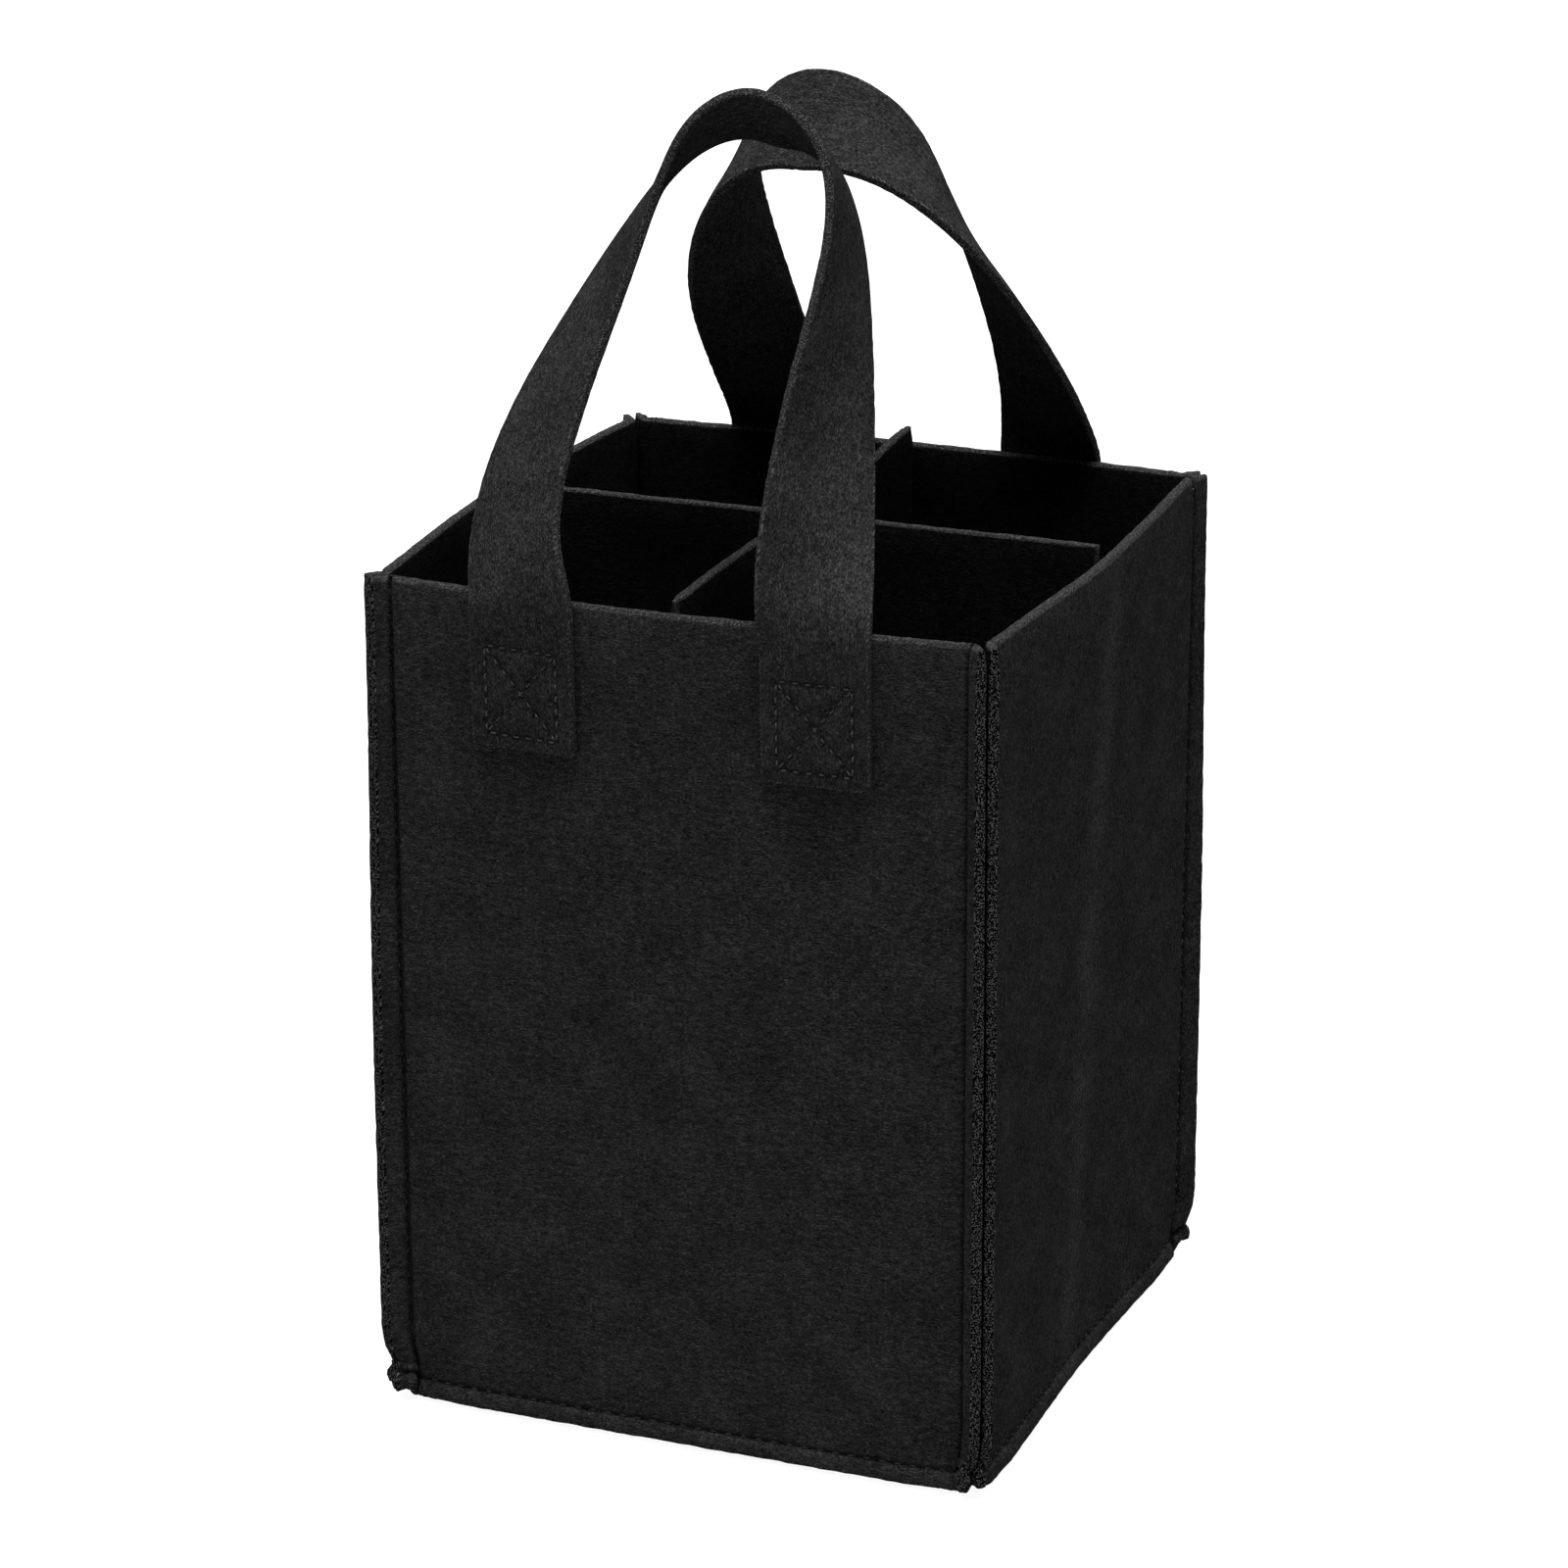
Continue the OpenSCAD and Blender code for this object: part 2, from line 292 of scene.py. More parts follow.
def strap_line(side):
    """Centre line of a strap from its left sewn end to its right one, with its turn at each point."""
    h = HANDLES[side]
    # Powers of the share of the way up make the plain arch: legs that stand up first, and a round top.
    share = 1 - (1 - np.linspace(0, 1, LEG_POINTS)) ** 1.5
    legs = []
    for leg, sign in ((0, -1), (1, 1)):
        x = sign * FOOT_X * np.clip(1 - share ** 4, 0, 1) ** 0.9 + h["sway"] * share ** 2
        x = x + h["bow"][leg] * LEG_BOW[side][leg](share)
        y = -(HALF + FELT / 2) + h["lean"] * np.sin(math.pi / 2 * share) ** 1.25
        z = RIM + h["rise"] * (1.13 * share - 0.13 * share ** 8)
        turn = h["turn"] * share + h["twist"][leg] * LEG_TWIST[side][leg](share)
        sewn = np.linspace(STRAP_FOOT, RIM, SEWN_POINTS)[:-1]
        points = np.concatenate([
            np.stack([0 * sewn + sign * FOOT_X, 0 * sewn - (HALF + FELT / 2), sewn], -1),
            np.stack([x, y, z], -1)])
        legs.append((points, np.concatenate([0 * sewn, turn])))
    (left, left_turn), (right, right_turn) = legs
    points = np.concatenate([left, right[::-1][1:]])
    turns = np.concatenate([left_turn, right_turn[::-1][1:]])
    length = length_along(points)
    even = np.linspace(0, length[-1], STRAP_POINTS)
    points = np.stack([np.interp(even, length, points[:, k]) for k in range(3)], -1)
    turns = np.interp(even, length, turns)
    window = np.hanning(SMOOTHING)
    window /= window.sum()
    pad = len(window) // 2
    for _ in range(2):
        rows = [np.convolve(np.pad(c, pad, mode="reflect", reflect_type="odd"), window, mode="valid")
                for c in (*points.T, turns)]
        points, turns = np.stack(rows[:3], -1), rows[3]
    return length_along(points), points, turns


def strap_middle(side):
    """Middle surface of a strap: u across it, v along it; and its length."""
    length, points, turns = strap_line(side)
    along = np.gradient(points, axis=0)
    along /= np.linalg.norm(along, axis=1)[:, None]
    ahead = np.array([0, -1, 0])
    out = ahead - along * (along @ ahead)[:, None]
    out /= np.linalg.norm(out, axis=1)[:, None]
    inward = -np.cross(out, along)
    angle = np.radians(turns)[:, None]
    across = np.cos(angle) * inward + np.sin(angle) * out
    columns = np.concatenate([points, across], 1)

    def middle(u, v):
        at = [np.interp(v, length, columns[:, k]) for k in range(6)]
        p = np.stack(at[:3], -1) - np.stack(at[3:], -1) * u[..., None]
        # Below the rim a strap follows the wall's swell, and above it the swell fades out.
        near = 1 - smooth_step((p[..., 2] - RIM) / 0.05)
        p[..., 1] -= near * swell(side, p[..., 0], np.minimum(p[..., 2], RIM))
        return turned(p, SIDES[side])
    return middle, length[-1]


# ---------------------------------------------------------------- meshes

def lines(*stops):
    """Grid lines: positions and steps in turn, as lines(0, fine, 0.01, coarse, 0.1)."""
    found = [stops[0]]
    for low, step, high in zip(stops[0::2], stops[1::2], stops[2::2]):
        count = max(1, math.ceil((high - low) / step - 1e-6))
        found += [low + (high - low) * (k + 1) / count for k in range(count)]
    return np.array(found)


def lifted(middle, u, v, w):
    """Points at distance w from a middle surface, outwards where w is positive."""
    step = 1e-5
    du = middle(u + step, v) - middle(u - step, v)
    dv = middle(u, v + step) - middle(u, v - step)
    normal = np.cross(dv, du)
    normal /= np.maximum(np.linalg.norm(normal, axis=-1), 1e-12)[..., None]
    return middle(u, v) + normal * np.asarray(w)[..., None]


def new_object(name, vertices, faces, uvs=None, materials=(), indices=None):
    """A smooth-shaded mesh; uvs are for each corner of each face, indices pick a material for each face."""
    mesh = bpy.data.meshes.new(name)
    mesh.from_pydata(np.asarray(vertices).tolist(), [], faces)
    for m in materials:
        mesh.materials.append(m)
    if indices is not None:
        mesh.polygons.foreach_set("material_index", indices)
    mesh.polygons.foreach_set("use_smooth", [True] * len(mesh.polygons))
    if uvs is not None:
        layer = mesh.uv_layers.new(name="felt")
        layer.data.foreach_set("uv", np.asarray(uvs, np.float32).ravel())
    mesh.update()
    obj = bpy.data.objects.new(name, mesh)
    bpy.context.scene.collection.objects.link(obj)
    return obj


# Rows over a cut edge, from the outer face to the inner one: inset as a share of ROUND, height as a share of
# half the felt without its rounding, and height above that as a share of ROUND.
EDGE_ROWS = [(0.3, 1.0, 0.7), (0, 1.0, 0), (0, 0.35, 0), (0, -0.35, 0), (0, -1.0, 0), (0.3, -1.0, -0.7)]

# Where each of a sheet's materials goes, by its place in the list.
OUTSIDE, CUT_EDGE, INSIDE, TOP_EDGE = range(4)


def felt_sheet(name, us, vs, middle, materials, missing=None, dent=None, seed=1):
    """A closed sheet of felt over the grid lines us and vs, less the cells that missing names.

    The materials are for the outer face, the cut edges, the inner face and, where it differs, the top edge.
    dent gives how deep each face is drawn in at a place: dent(u, v, +1 or -1)."""
    nu, nv = len(us), len(vs)
    half = FELT / 2
    cells = [(i, j) for i in range(nu - 1) for j in range(nv - 1)
             if missing is None or not missing((us[i] + us[i + 1]) / 2, (vs[j] + vs[j + 1]) / 2)]
    edges = set()
    for i, j in cells:
        a, b, c, d = i * nv + j, (i + 1) * nv + j, (i + 1) * nv + j + 1, i * nv + j + 1
        edges.update([(a, b), (b, c), (c, d), (d, a)])
    rim = [(a, b) for a, b in edges if (b, a) not in edges]
    rim.sort()
    used = sorted({k for e in edges for k in e})
    grid_u, grid_v = np.repeat(us, nv), np.tile(vs, nu)
    push_u, push_v = np.zeros(nu * nv), np.zeros(nu * nv)
    for a, b in rim:
        du, dv = grid_u[b] - grid_u[a], grid_v[b] - grid_v[a]
        for k in (a, b):
            push_u[k] += dv
            push_v[k] -= du
    push_u, push_v = np.sign(np.round(push_u, 9)), np.sign(np.round(push_v, 9))
    ring = sorted({a for a, b in rim})
    place = {k: n for n, k in enumerate(used)}
    spot = {k: n for n, k in enumerate(ring)}
    used, ring = np.array(used), np.array(ring)
    count, rows = len(used), len(EDGE_ROWS)
    face_u = grid_u[used] - ROUND * push_u[used]
    face_v = grid_v[used] - ROUND * push_v[used]
    u, v, w = [face_u, face_u], [face_v, face_v], [np.full(count, half), np.full(count, -half)]
    rng = np.random.RandomState(seed)
    for inset, share, rounding in EDGE_ROWS:
        back = inset * ROUND + FUZZ * rng.uniform(-1, 1, len(ring))
        u.append(grid_u[ring] - back * push_u[ring])
        v.append(grid_v[ring] - back * push_v[ring])
        w.append(np.full(len(ring), share * (half - ROUND) + rounding * ROUND)
                 + FUZZ * 0.5 * rng.uniform(-1, 1, len(ring)))
    u, v, w = np.concatenate(u), np.concatenate(v), np.concatenate(w)
    if dent is not None:
        w = w - np.where(w > 0, dent(u, v, 1), -dent(u, v, -1)) * np.abs(w) / half
    vertices = lifted(middle, u, v, w)
    vertices[:, 2] = np.maximum(vertices[:, 2], 0)
    faces, kinds = [], []
    for i, j in cells:
        a, b = place[i * nv + j], place[(i + 1) * nv + j]
        c, d = place[(i + 1) * nv + j + 1], place[i * nv + j + 1]
        faces += [(a, d, c, b), (a + count, b + count, c + count, d + count)]
        kinds += [OUTSIDE, INSIDE]
    for a, b in rim:
        left = [place[a]] + [2 * count + k * len(ring) + spot[a] for k in range(rows)] + [place[a] + count]
        right = [place[b]] + [2 * count + k * len(ring) + spot[b] for k in range(rows)] + [place[b] + count]
        for k in range(rows + 1):
            faces.append((left[k], right[k], right[k + 1], left[k + 1]))
            on_top = len(materials) > TOP_EDGE and grid_v[a] == grid_v[b] == vs[0]
            kinds.append(TOP_EDGE if on_top else CUT_EDGE)
    uvs = []
    for f, kind in zip(faces, kinds):
        uvs += [(u[k] + v[k], w[k]) if kind in (CUT_EDGE, TOP_EDGE) else (u[k], v[k]) for k in f]
    return new_object(name, vertices, faces, uvs, materials, kinds)


def thread_tubes(name, paths, material):
    """One object of closed tubes, each along its own list of points and thinner at its ends."""
    sides, end_share = 6, 0.55
    vertices, faces, uvs = [], [], []
    for path in paths:
        path = np.asarray(path)
        along = np.gradient(path, axis=0)
        along /= np.linalg.norm(along, axis=1)[:, None]
        guide = np.array([0.31, 0.17, 0.94])
        if abs(along[0] @ guide) > 0.9:
            guide = np.array([0.94, 0.17, -0.31])
        first = np.cross(along, guide)
        first /= np.linalg.norm(first, axis=1)[:, None]
        second = np.cross(along, first)
        base, last = len(vertices), len(path) - 1
        for k in range(len(path)):
            radius = THREAD / 2 * (end_share if k in (0, last) else 1)
            for n in range(sides):
                a = math.tau * n / sides
                vertices.append(path[k] + radius * (math.cos(a) * first[k] + math.sin(a) * second[k]))
        for k in range(last):
            for n in range(sides):
                m = (n + 1) % sides
                faces.append((base + k * sides + n, base + k * sides + m,
                              base + (k + 1) * sides + m, base + (k + 1) * sides + n))
                uvs += [(n / sides, k / last), ((n + 1) / sides, k / last),
                        ((n + 1) / sides, (k + 1) / last), (n / sides, (k + 1) / last)]
        for ring, order in ((0, -1), (last, 1)):
            cap = [base + ring * sides + n for n in range(sides)][::order]
            faces.append(tuple(cap))
            uvs += [(0.5, ring / last)] * sides
    return new_object(name, vertices, faces, uvs, [material])


def stitches(middle, start, end, face, seed, pitch=STITCH, sunk=GROOVE):
    """Paths of a row of stitches on one face of a sheet, from start to end in its own u and v."""
    start, end = np.array(start, float), np.array(end, float)
    length = np.linalg.norm(end - start)
    count = max(1, round(length / pitch))
    rng = np.random.RandomState(seed)
    paths = []
    t = np.linspace(0, 1, 7)
    for k in range(count):
        low, high = (k + 0.5 - STITCH_SHARE / 2) / count, (k + 0.5 + STITCH_SHARE / 2) / count
        uv = start + (end - start) * (low + (high - low) * t)[:, None]
        side = np.array([start[1] - end[1], end[0] - start[0]]) / length
        uv = uv + side * (rng.uniform(-1, 1, 2) @ np.array([1, 0.6]) * STITCH_STRAY)
        rise = np.sin(math.pi * t) ** 0.6
        w = FELT / 2 - sunk - THREAD * 0.7 + rise * (THREAD * 1.05)
        paths.append(lifted(middle, uv[:, 0], uv[:, 1], face * w))
    return paths


def pressed(distance):
    """How far a face is pressed in at a distance from a cut edge."""
    return PINCH * np.exp(-((distance / PINCH_REACH) ** 2))


def to_segment(u, v, start, end):
    """Distance from points to a line segment."""
    (a, b), (c, d) = start, end
    length = (c - a) ** 2 + (d - b) ** 2
    t = np.clip(((u - a) * (c - a) + (v - b) * (d - b)) / length, 0, 1)
    return np.hypot(u - a - t * (c - a), v - b - t * (d - b))


def box_segments(centre_u, centre_v):
    """The six rows of a crossed stitch box."""
    w, h = BOX_WIDTH / 2, BOX_HEIGHT / 2
    p = [(centre_u + a * w, centre_v + b * h) for a, b in ((-1, -1), (1, -1), (1, 1), (-1, 1))]
    return [(p[0], p[1]), (p[1], p[2]), (p[2], p[3]), (p[3], p[0]), (p[0], p[2]), (p[1], p[3])]


def groove_at(u, v, segments, depth=GROOVE, width=0.0008):
    """Depth of the groove along rows of stitches, with a wide soft hollow about it."""
    near = np.min([to_segment(u, v, a, b) for a, b in segments], axis=0)
    return depth * np.exp(-((near / width) ** 2)) + 0.4 * depth * np.exp(-((near / (3.5 * width)) ** 2))


# ---------------------------------------------------------------- materials

def new_material(name):
    """A material with a plain shader, and its tree and shader."""
    material = bpy.data.materials.new(name)
    material.use_nodes = True
    tree = material.node_tree
    tree.nodes.clear()
    output = tree.nodes.new("ShaderNodeOutputMaterial")
    shader = tree.nodes.new("ShaderNodeBsdfPrincipled")
    tree.links.new(shader.outputs["BSDF"], output.inputs["Surface"])
    return material, tree, shader


def noise(tree, coordinates, scale, **settings):
    """A cloudy value over the coordinates; a greater scale makes it finer."""
    node = tree.nodes.new("ShaderNodeTexNoise")
    node.inputs["Scale"].default_value = scale
    for key, value in settings.items():
        node.inputs[key].default_value = value
    tree.links.new(coordinates, node.inputs["Vector"])
    return node.outputs["Fac"]


def stretched(tree, coordinates, scale):
    """The coordinates, each times its own scale."""
    node = tree.nodes.new("ShaderNodeMapping")
    node.inputs["Scale"].default_value = scale
    tree.links.new(coordinates, node.inputs["Vector"])
    return node.outputs["Vector"]


def mixed(tree, a, b, factor):
    """a and b are outputs; the result is a value between them."""
    node = tree.nodes.new("ShaderNodeMix")
    node.data_type = "FLOAT"
    node.inputs["Factor"].default_value = factor
    tree.links.new(a, node.inputs["A"])
    tree.links.new(b, node.inputs["B"])
    return node.outputs["Result"]


def ramp(tree, value, stops):
    """A grey from a value: each stop is a position and its tone."""
    node = tree.nodes.new("ShaderNodeValToRGB")
    elements = node.color_ramp.elements
    while len(elements) < len(stops):
        elements.new(0.5)
    for element, (position, tone) in zip(elements, stops):
        element.position = position
        element.color = (tone, tone, tone, 1)
    tree.links.new(value, node.inputs["Fac"])
    return node.outputs["Color"]


def bump(tree, height, distance, strength, shader, before=None):
    """Bumps on a shader, over those that came before."""
    node = tree.nodes.new("ShaderNodeBump")
    node.inputs["Distance"].default_value = distance
    node.inputs["Strength"].default_value = strength
    tree.links.new(height, node.inputs["Height"])
    if before is not None:
        tree.links.new(before, node.inputs["Normal"])
    tree.links.new(node.outputs["Normal"], shader.inputs["Normal"])
    return node.outputs["Normal"]


def reckoned(tree, operation, a, b):
    """A sum on a value: a is an output, b an output or a number."""
    node = tree.nodes.new("ShaderNodeMath")
    node.operation = operation
    tree.links.new(a, node.inputs[0])
    if isinstance(b, float):
        node.inputs[1].default_value = b
    else:
        tree.links.new(b, node.inputs[1])
    return node.outputs["Value"]


CREASE_REACH, CREASE_PALER = 0.013, 1.42


def paler_along(tree, uv, colour, top, foot):
    """The colour, up to two fifths paler near a line from top at the rim to foot at the wall's foot."""
    split = tree.nodes.new("ShaderNodeSeparateXYZ")
    tree.links.new(uv, split.inputs["Vector"])
    line = reckoned(tree, "MULTIPLY", split.outputs["Y"], (foot - top) / (RIM - BASE_TOP))
    line = reckoned(tree, "ADD", line, top)
    away = reckoned(tree, "ABSOLUTE", reckoned(tree, "SUBTRACT", split.outputs["X"], line), 0.0)
    share = tree.nodes.new("ShaderNodeMapRange")
    share.interpolation_type = "SMOOTHSTEP"
    share.inputs["From Min"].default_value, share.inputs["From Max"].default_value = 0.0, CREASE_REACH
    share.inputs["To Min"].default_value, share.inputs["To Max"].default_value = CREASE_PALER, 1.0
    tree.links.new(away, share.inputs["Value"])
    scaled = tree.nodes.new("ShaderNodeVectorMath")
    scaled.operation = "SCALE"
    tree.links.new(colour, scaled.inputs[0])
    tree.links.new(share.outputs["Result"], scaled.inputs["Scale"])
    return scaled.outputs["Vector"]


def felt(name, tone, fibres_up=False, crease=None):
    """Needle-punched felt: a matt mat of short fibres that lie mostly one way.

    crease gives the places at the rim and at the foot of a line near which the felt is made paler."""
    material, tree, shader = new_material(name)
    uv = tree.nodes.new("ShaderNodeTexCoord").outputs["UV"]
    lay = (1.0, 0.5, 1) if fibres_up else (0.5, 1.0, 1)
    laid = stretched(tree, uv, lay)
    fibres = noise(tree, laid, 2300, Detail=2, Roughness=0.6, Distortion=0.5)
    tufts = noise(tree, laid, 700, Detail=2, Roughness=0.5)
    clouds = noise(tree, uv, 60, Detail=3, Roughness=0.6)
    mottle = mixed(tree, mixed(tree, fibres, tufts, 0.30), clouds, 0.15)
    colour = ramp(tree, mottle, [(0.34, tone * 0.15), (0.50, tone), (0.66, tone * 3.0)])
    if crease is not None:
        colour = paler_along(tree, uv, colour, *crease)
    tree.links.new(colour, shader.inputs["Base Color"])
    shader.inputs["Roughness"].default_value = 0.95
    shader.inputs["Specular IOR Level"].default_value = 0.0
    first = bump(tree, mottle, 0.0005, 0.6, shader)
    bump(tree, fibres, 0.0003, 0.6, shader, first)
    return material


def raw_edge(name, tone, smooth=False):
    """A cut edge of felt: open fibre ends that catch the light as fine specks, faint on a smooth cut."""
    material, tree, shader = new_material(name)
    uv = tree.nodes.new("ShaderNodeTexCoord").outputs["UV"]
    specks = noise(tree, uv, 2300, Detail=1, Roughness=0.5)
    clumps = noise(tree, uv, 900, Detail=1, Roughness=0.5)
    pattern = mixed(tree, specks, clumps, 0.25)
    if smooth:
        stops, strength = ((0.40, 0.45), (0.52, 1.2), (0.64, 4.2)), 0.5
    else:
        stops, strength = ((0.44, 0.03), (0.51, 0.5), (0.60, 10.0)), 0.9
    colour = ramp(tree, pattern, [(position, tone * share) for position, share in stops])
    tree.links.new(colour, shader.inputs["Base Color"])
    shader.inputs["Roughness"].default_value = 0.9
    shader.inputs["Specular IOR Level"].default_value = 0.0
    bump(tree, pattern, 0.0006, strength, shader)
    return material


def sewing_thread(name):
    """Black polyester thread: two plies with a dull shine."""
    material, tree, shader = new_material(name)
    uv = tree.nodes.new("ShaderNodeTexCoord").outputs["UV"]
    plies = tree.nodes.new("ShaderNodeTexWave")
    plies.bands_direction = "DIAGONAL"
    plies.inputs["Scale"].default_value = 2.2
    plies.inputs["Distortion"].default_value = 0.6
    tree.links.new(uv, plies.inputs["Vector"])
    colour = ramp(tree, plies.outputs["Fac"], [(0.1, 0.004), (0.8, 0.020)])
    tree.links.new(colour, shader.inputs["Base Color"])
    shader.inputs["Roughness"].default_value = 0.42
    shader.inputs["Specular IOR Level"].default_value = 0.35
    bump(tree, plies.outputs["Fac"], 0.0002, 0.6, shader)
    return material


# The tone for the inside, far darker than the walls', is painted shade for the shade within the cells.
WALL_TONE, SIDE_PAINTED_SHADE_TONE, INNER_PAINTED_SHADE_TONE, EDGE_TONE = 0.0104, 0.0091, 0.0033, 0.0058
front_felt = felt("felt_walls_across", WALL_TONE)
# Painted shade: the left and right walls take the same felt a little darker than the front and back walls.
side_felt_painted_shade = felt("felt_walls_upright_painted_shade", SIDE_PAINTED_SHADE_TONE, fibres_up=True)
creased_felt_painted_shade = felt("felt_wall_creased_painted_shade", SIDE_PAINTED_SHADE_TONE, fibres_up=True, crease=(0.002, -0.010))
# Painted shade: this darker felt goes on the walls' inner faces, the base and the dividers.
inner_felt_painted_shade = felt("felt_inside_painted_shade", INNER_PAINTED_SHADE_TONE)
strap_felt = felt("felt_straps", WALL_TONE, fibres_up=True)
wall_edge = raw_edge("felt_edge_walls", EDGE_TONE)
rim_edge = raw_edge("felt_edge_divider", 1.7 * EDGE_TONE, smooth=True)    # for the walls' rims as well
strap_edge = raw_edge("felt_edge_straps", 2 * EDGE_TONE, smooth=True)
thread = sewing_thread("thread_black")

# ---------------------------------------------------------------- camera, floor and light

CAMERA_PLACE = Vector((0.5313, -1.3278, 0.6671))
CAMERA_AZIMUTH, CAMERA_DROP, CAMERA_ROLL = 21.98, 19.20, 0.185    # degrees
CAMERA_LENS, CAMERA_SENSOR = 121.34, 36                           # millimetres
FLOOR_HALF = 30
FLOOR_GLOW = 0.94                        # light of the table's own, so that it stays white under the bag
SKY_FALL, SKY_TOP, SKY_SIDE = 12.0, 29.0, 0.10    # fall of the light off the zenith, strength there, aside

camera_data = bpy.data.cameras.new("camera")
camera_data.sensor_width = CAMERA_SENSOR
camera_data.lens = CAMERA_LENS
camera = bpy.data.objects.new("camera", camera_data)
bpy.context.scene.collection.objects.link(camera)
camera.matrix_world = (
    Matrix.Translation(CAMERA_PLACE)
    @ Matrix.Rotation(math.radians(CAMERA_AZIMUTH), 4, "Z")
    @ Matrix.Rotation(math.radians(90 - CAMERA_DROP), 4, "X")
    @ Matrix.Rotation(math.radians(-CAMERA_ROLL), 4, "Z"))
bpy.context.scene.camera = camera
bpy.context.scene.view_settings.view_transform = "Standard"


def studio():
    """A pale lit table that runs out of view, under a wide soft light that is strongest overhead."""
    corners = [(x * FLOOR_HALF, y * FLOOR_HALF, 0) for x, y in ((-1, -1), (1, -1), (1, 1), (-1, 1))]
    floor = new_object("floor", corners, [(0, 1, 2, 3)])
    material, tree, shader = new_material("floor_pale")
    uv = tree.nodes.new("ShaderNodeTexCoord").outputs["Object"]
    grain = noise(tree, uv, 60, Detail=2)
    tree.links.new(ramp(tree, grain, [(0.3, 0.10), (0.7, 0.12)]), shader.inputs["Base Color"])
    shader.inputs["Roughness"].default_value = 0.9
    shader.inputs["Specular IOR Level"].default_value = 0.1
    shader.inputs["Emission Color"].default_value = (1, 1, 1, 1)
    shader.inputs["Emission Strength"].default_value = FLOOR_GLOW
    floor.data.materials.append(material)

    world = bpy.data.worlds.new("surround")
    world.use_nodes = True
    tree = world.node_tree
    place = tree.nodes.new("ShaderNodeTexCoord").outputs["Generated"]
    split = tree.nodes.new("ShaderNodeSeparateXYZ")
    tree.links.new(place, split.inputs["Vector"])
    brighter = split.outputs["Z"]
    steps = (("MAXIMUM", 0.0), ("POWER", SKY_FALL), ("MULTIPLY", SKY_TOP), ("ADD", SKY_SIDE))
    for operation, value in steps:
        brighter = reckoned(tree, operation, brighter, value)
    sky = tree.nodes["Background"]
    sky.inputs["Color"].default_value = (1, 1, 1, 1)
    tree.links.new(brighter, sky.inputs["Strength"])
    bpy.context.scene.world = world


studio()

# ---------------------------------------------------------------- the bag

COARSE, FINE, FINEST = 0.0025, 0.0009, 0.0004     # steps of the grid lines
STRAP_FINE, STRAP_COARSE = 0.0008, 0.0016
BOX_MIDDLE = BOX_MARGIN + BOX_HEIGHT / 2          # middle of a stitch box above the strap's end


def from_middle(*stops):
    """Grid lines over both halves of a sheet, from the lines of its right half."""
    right = lines(*stops)
    return np.concatenate([-right[::-1], right[1:]])


def wall_dent(side):
    """Where the seams draw a wall in, and the stitched boxes show through on its inner face."""
    boxes = []
    if side in ("front", "back"):
        centre = RIM - STRAP_FOOT - BOX_MARGIN - BOX_HEIGHT / 2    # below the rim
        boxes = box_segments(-FOOT_X, centre) + box_segments(FOOT_X, centre)

    def dent(u, v, face):
        from_corner, from_foot = np.abs(u) - CORNER, v - SEAM_DROP
        beyond = np.abs(u) - WALL_HALF_WIDTH
        depth = CORNER_GROOVE * np.exp(-(((from_corner + 0.0003) / 0.0011) ** 2)) * (face > 0)
        depth = depth + 1.3 * PINCH * smooth_step((beyond + 0.005) / 0.004) * (face > 0)
        depth = depth + FIN_GAP * smooth_step((beyond + 0.0018) / 0.0018) * (face < 0)
        depth = depth + pressed(v)
        depth = depth + FOOT_GROOVE * np.exp(-(((from_foot - 0.0002) / 0.0008) ** 2)) * (face > 0)
        band = smooth_step((from_foot - 0.001) / 0.002) * smooth_step((0.006 - from_foot) / 0.002)
        depth = depth - FOOT_BAND * band
        if boxes and face < 0:
            depth = depth + groove_at(u, v, boxes, INNER_GROOVE)
        return depth
    return dent


def build_wall(side):
    name = side + "_panel"
    us = from_middle(0, COARSE, CORNER - 0.008, FINE, CORNER - 0.003, FINEST, CORNER + 0.003,
                     FINE, WALL_HALF_WIDTH)
    vs = lines(0, ROUND, 2 * ROUND, COARSE, SEAM_DROP - 0.022, 0.0012, SEAM_DROP - 0.006,
               FINE, SEAM_DROP - 0.002, FINEST, SEAM_DROP + 0.002, FINE, WALL_HEIGHT)
    middle = wall_middle(side)
    # The left and right walls' darker felt is painted shade.
    material = {"right": creased_felt_painted_shade, "left": side_felt_painted_shade}.get(side, front_felt)
    wall = felt_sheet(name + "_felt", us, vs, middle, [material, wall_edge, inner_felt_painted_shade, rim_edge],
                      dent=wall_dent(side), seed=SIDES[side] + 1)
    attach(wall, "bag")
    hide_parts(name)
    return middle


def build_base():
    half = BASE_HALF_WIDTH
    us = from_middle(0, 0.005, BASE_CORNER - 0.012, 0.002, BASE_CORNER - 0.003, FINE, half)
    # Both faces of the base take the darker inside felt, which is painted shade.
    base = felt_sheet("base_panel_felt", us, us, lambda u, v: base_middle(v, u),
                      [inner_felt_painted_shade, wall_edge, inner_felt_painted_shade], seed=9)
    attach(base, "bag")
    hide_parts("base_panel")


def build_divider(name, degrees, sides, slot_below, lift):
    slot_half = FELT / 2 + SLOT_GAP
    height = DIVIDER_TOP - DIVIDER_FOOT
    slot_end = height / 2 - LAP_GAP if slot_below else height / 2 + LAP_GAP

    def missing(u, v):
        return abs(u) < slot_half and (v > slot_end if slot_below else v < slot_end)

    right = lines(slot_half, FINE, 0.006, 0.003, 0.080, 0.0015, DIVIDER_END)
    us = np.concatenate([-right[::-1], [0.0], right])
    vs = lines(0, 2 * ROUND, 0.001, 0.003, slot_end, 0.003, height)
    # Both faces of a divider take the darker inside felt, which is painted shade.
    panel = felt_sheet(name + "_felt", us, vs, divider_middle(degrees, sides, lift),
                       [inner_felt_painted_shade, rim_edge, inner_felt_painted_shade],
                       dent=lambda u, v, face: pressed(v) + pressed(DIVIDER_END - np.abs(u)),
                       missing=missing, seed=degrees + 31)
    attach(panel, "divider")
    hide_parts(name)


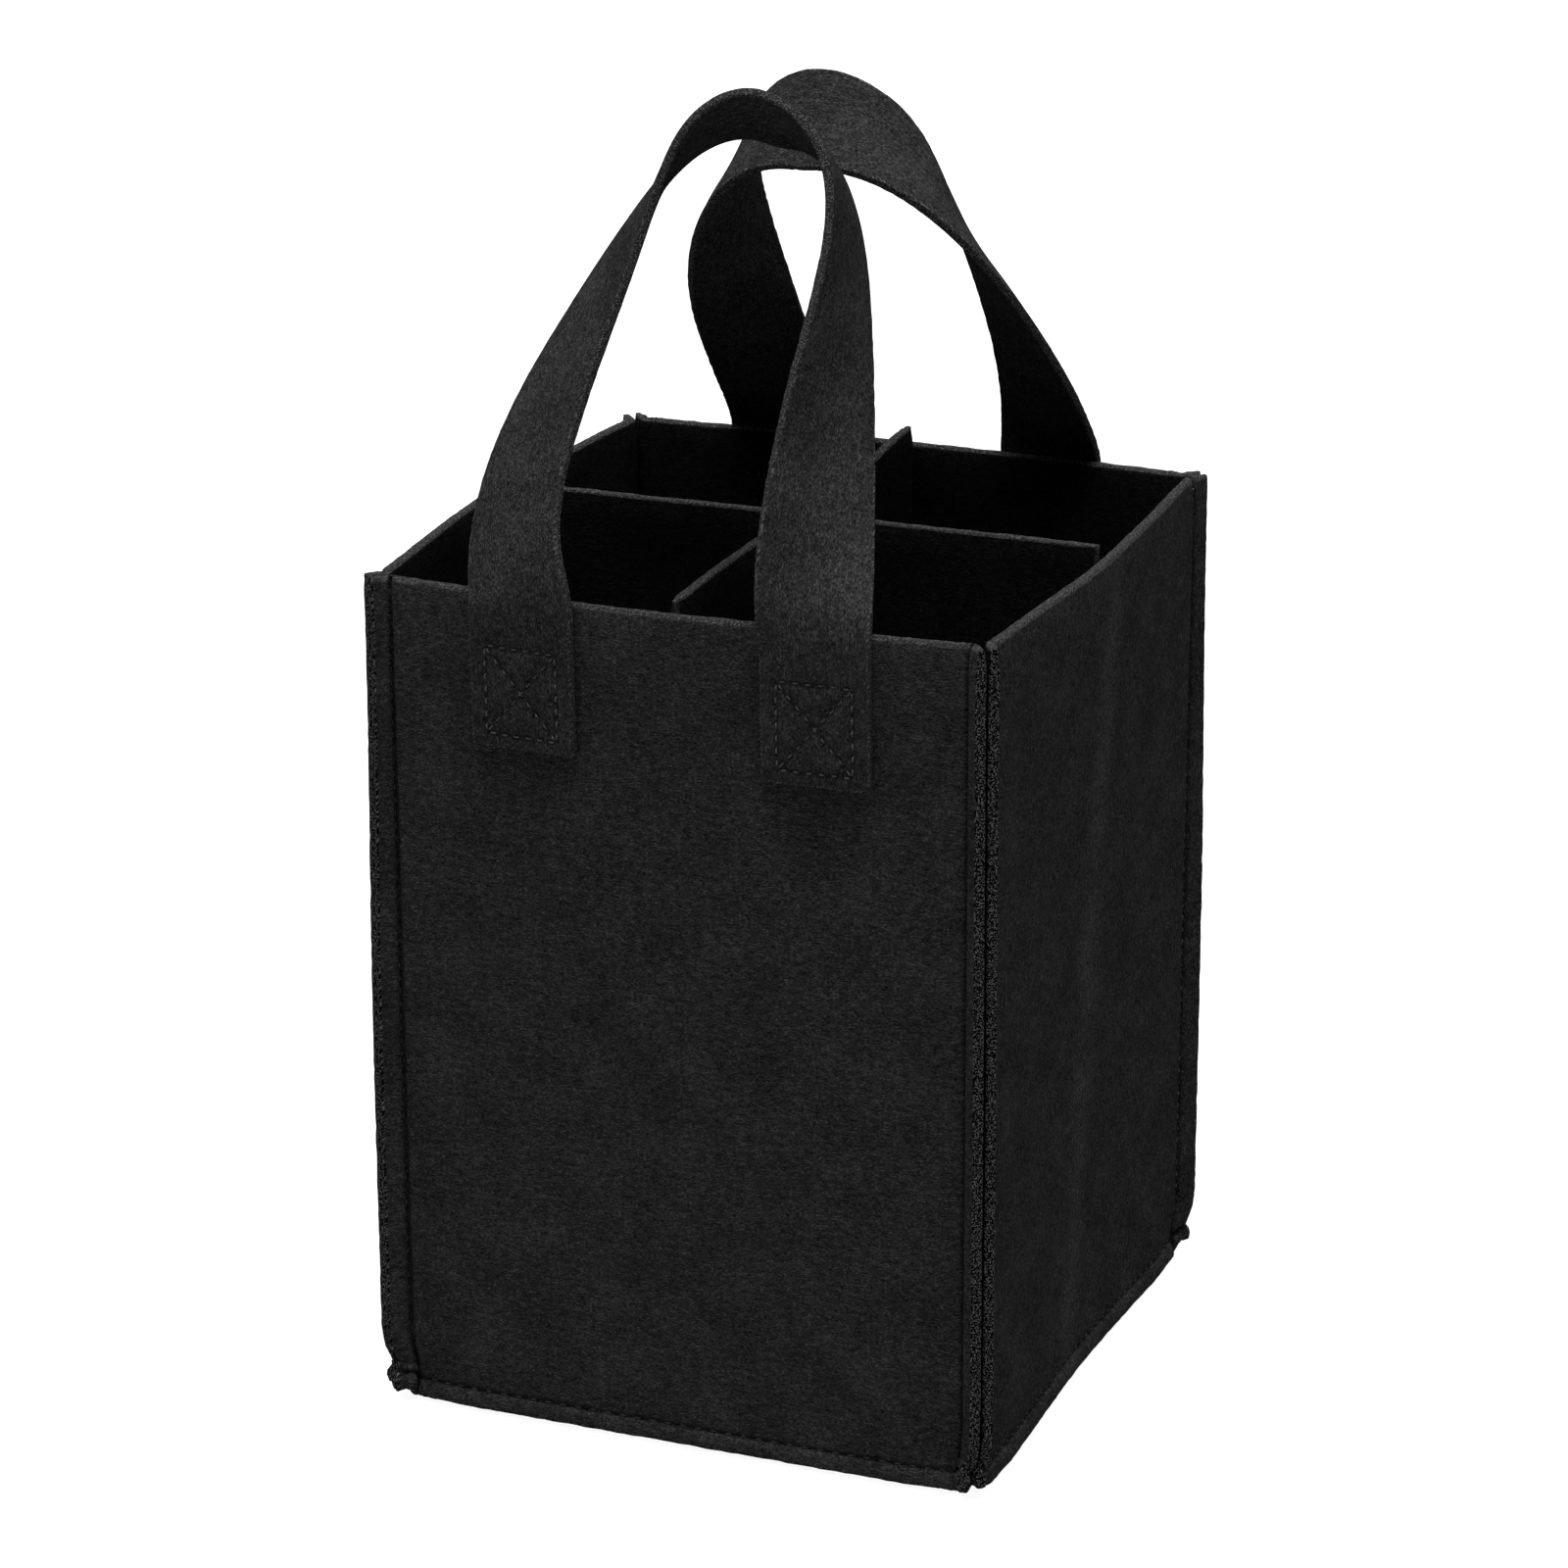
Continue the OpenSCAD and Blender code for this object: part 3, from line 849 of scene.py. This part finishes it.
def build_strap(side):
    middle, length = strap_middle(side)
    sewn = RIM - STRAP_FOOT
    half = STRAP_WIDTH / 2
    boxes = box_segments(0, BOX_MIDDLE) + box_segments(0, length - BOX_MARGIN - BOX_HEIGHT / 2)

    def dent(u, v, face):
        edges = pressed(half - np.abs(u)) + pressed(np.minimum(v, length - v))
        arch = smooth_step((v - sewn) / 0.02) * smooth_step((length - sewn - v) / 0.02)
        depth = groove_at(u, v, boxes) * (face > 0) + edges * np.where(face > 0, 1.0, 0.6)
        return depth + ARCH_PINCH * arch

    us = lines(-half, STRAP_FINE, half)
    vs = lines(0, STRAP_FINE, sewn * 0.8, STRAP_COARSE, length - sewn * 0.8, STRAP_FINE, length)
    strap = felt_sheet(side + "_strap_felt", us, vs, middle, [strap_felt, strap_edge, strap_felt],
                       dent=dent, seed=SIDES[side] + 41)
    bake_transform(strap)
    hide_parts(side + "_handle_loop", side + "_left_strap_end", side + "_right_strap_end")
    return middle, length


def dress_thread(name, paths, node):
    piece = thread_tubes(name, paths, thread)
    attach(piece, "bag")
    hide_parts(node)


def build_stitches(walls, straps):
    box_drop = RIM - STRAP_FOOT - BOX_MARGIN - BOX_HEIGHT / 2
    for side in ("front", "back"):
        middle, length = straps[side]
        for hand, v in (("left", BOX_MIDDLE), ("right", length - BOX_MARGIN - BOX_HEIGHT / 2)):
            # The back strap is the front one turned round, so its left end is on the right.
            named = hand if side == "front" else {"left": "right", "right": "left"}[hand]
            sign = -1 if hand == "left" else 1
            paths = []
            for k, (a, b) in enumerate(box_segments(0, v)):
                paths += stitches(middle, a, b, 1, seed=k + 60)
            for k, (a, b) in enumerate(box_segments(sign * FOOT_X, box_drop)):
                paths += stitches(walls[side], a, b, -1, seed=k + 70, sunk=BOX_SUNK)
            dress_thread(f"{side}_{named}_box_thread", paths, f"{side}_{named}_box_stitch")
    around = ["front", "right", "back", "left"]
    seams = {("front", "right"): "front_right", ("right", "back"): "back_right",
             ("back", "left"): "back_left", ("left", "front"): "front_left"}
    row, top, bottom = CORNER + 0.0009, 0.002, SEAM_DROP - 0.004    # of the corner seams
    line, reach = SEAM_DROP + 0.0002, CORNER - 0.004                # of the base seam
    for k, side in enumerate(around):
        after = around[(k + 1) % 4]
        paths = stitches(walls[side], (row, top), (row, bottom), 1, seed=k + 80, sunk=CORNER_SUNK)
        paths += stitches(walls[after], (-row, top), (-row, bottom), 1, seed=k + 84, sunk=CORNER_SUNK)
        corner = seams[(side, after)]
        dress_thread(corner + "_seam_thread", paths, corner + "_seam_stitch")
        paths = stitches(walls[side], (-reach, line), (reach, line), 1, pitch=BASE_STITCH, seed=k + 90,
                         sunk=FRONT_BASE_SUNK if side == "front" else BASE_SUNK)
        dress_thread(side + "_base_thread", paths, side + "_base_stitch")


walls = {side: build_wall(side) for side in SIDES}
build_base()
build_divider("divider_wide", 0, ("left", "right"), slot_below=True, lift=0.0)
build_divider("divider_deep", 90, ("front", "back"), slot_below=False, lift=0.0028)
straps = {side: build_strap(side) for side in HANDLES}
build_stitches(walls, straps)
